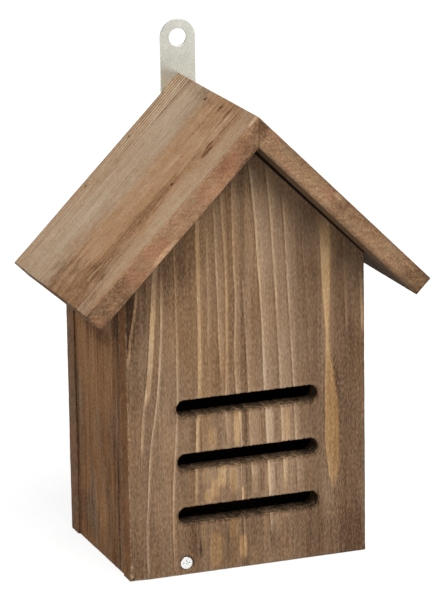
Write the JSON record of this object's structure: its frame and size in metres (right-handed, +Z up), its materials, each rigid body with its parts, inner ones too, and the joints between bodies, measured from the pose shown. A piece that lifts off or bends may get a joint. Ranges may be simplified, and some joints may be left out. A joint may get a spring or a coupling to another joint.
{
  "type": "ladybird house",
  "caption": "Small gabled wooden house with round-ended entry slots, a mitred overhanging roof, a floor that swings down on two screws, and a steel strip with a hole to hang it by.",
  "frame": {"origin": "middle of the whole outline seen from above, at the underside of the walls", "axes": "+X to the right as the slotted front is faced, +Y from the front towards the wall behind, +Z up"},
  "size_m": [0.2, 0.1282, 0.2912],
  "materials": {
    "wood_front": "rough-sawn softwood, brown stain",
    "wood_side": "rough-sawn softwood, brown stain",
    "wood_floor": "rough-sawn softwood, brown stain",
    "wood_roof": "rough-sawn softwood, brown stain",
    "galvanised_steel": "galvanised, dull",
    "zinc_steel": "zinc plated, bright",
    "brad_steel": "dark, weathered"
  },
  "bodies": {
    "house": {"front_panel": "wood_front", "back_panel": "wood_side", "left_side": "wood_side", "right_side": "wood_side", "left_roof": "wood_roof", "right_roof": "wood_roof", "hanger_strip": "galvanised_steel", "hanger_screws": "zinc_steel", "left_roof_brads": "brad_steel", "right_roof_brads": "brad_steel", "ridge_brads": "brad_steel"},
    "floor": {"floor_board": "wood_floor"},
    "front_pivot": {"front_screw": "zinc_steel"},
    "back_pivot": {"back_screw": "zinc_steel"}
  },
  "joints": [
    {"name": "floor_swing", "type": "hinge", "parent": "house", "child": "floor", "pos_m": [-0.037, 0.00985, 0.0066], "axis": [0, 1, 0], "range_deg": [0, 90]},
    {"name": "front_screw_turn", "type": "hinge", "parent": "floor", "child": "front_pivot", "pos_m": [-0.037, -0.04085, 0.0066], "axis": [0, 1, 0], "continuous": true},
    {"name": "back_screw_turn", "type": "hinge", "parent": "floor", "child": "back_pivot", "pos_m": [-0.037, 0.06055, 0.0066], "axis": [0, 1, 0], "continuous": true}
  ]
}
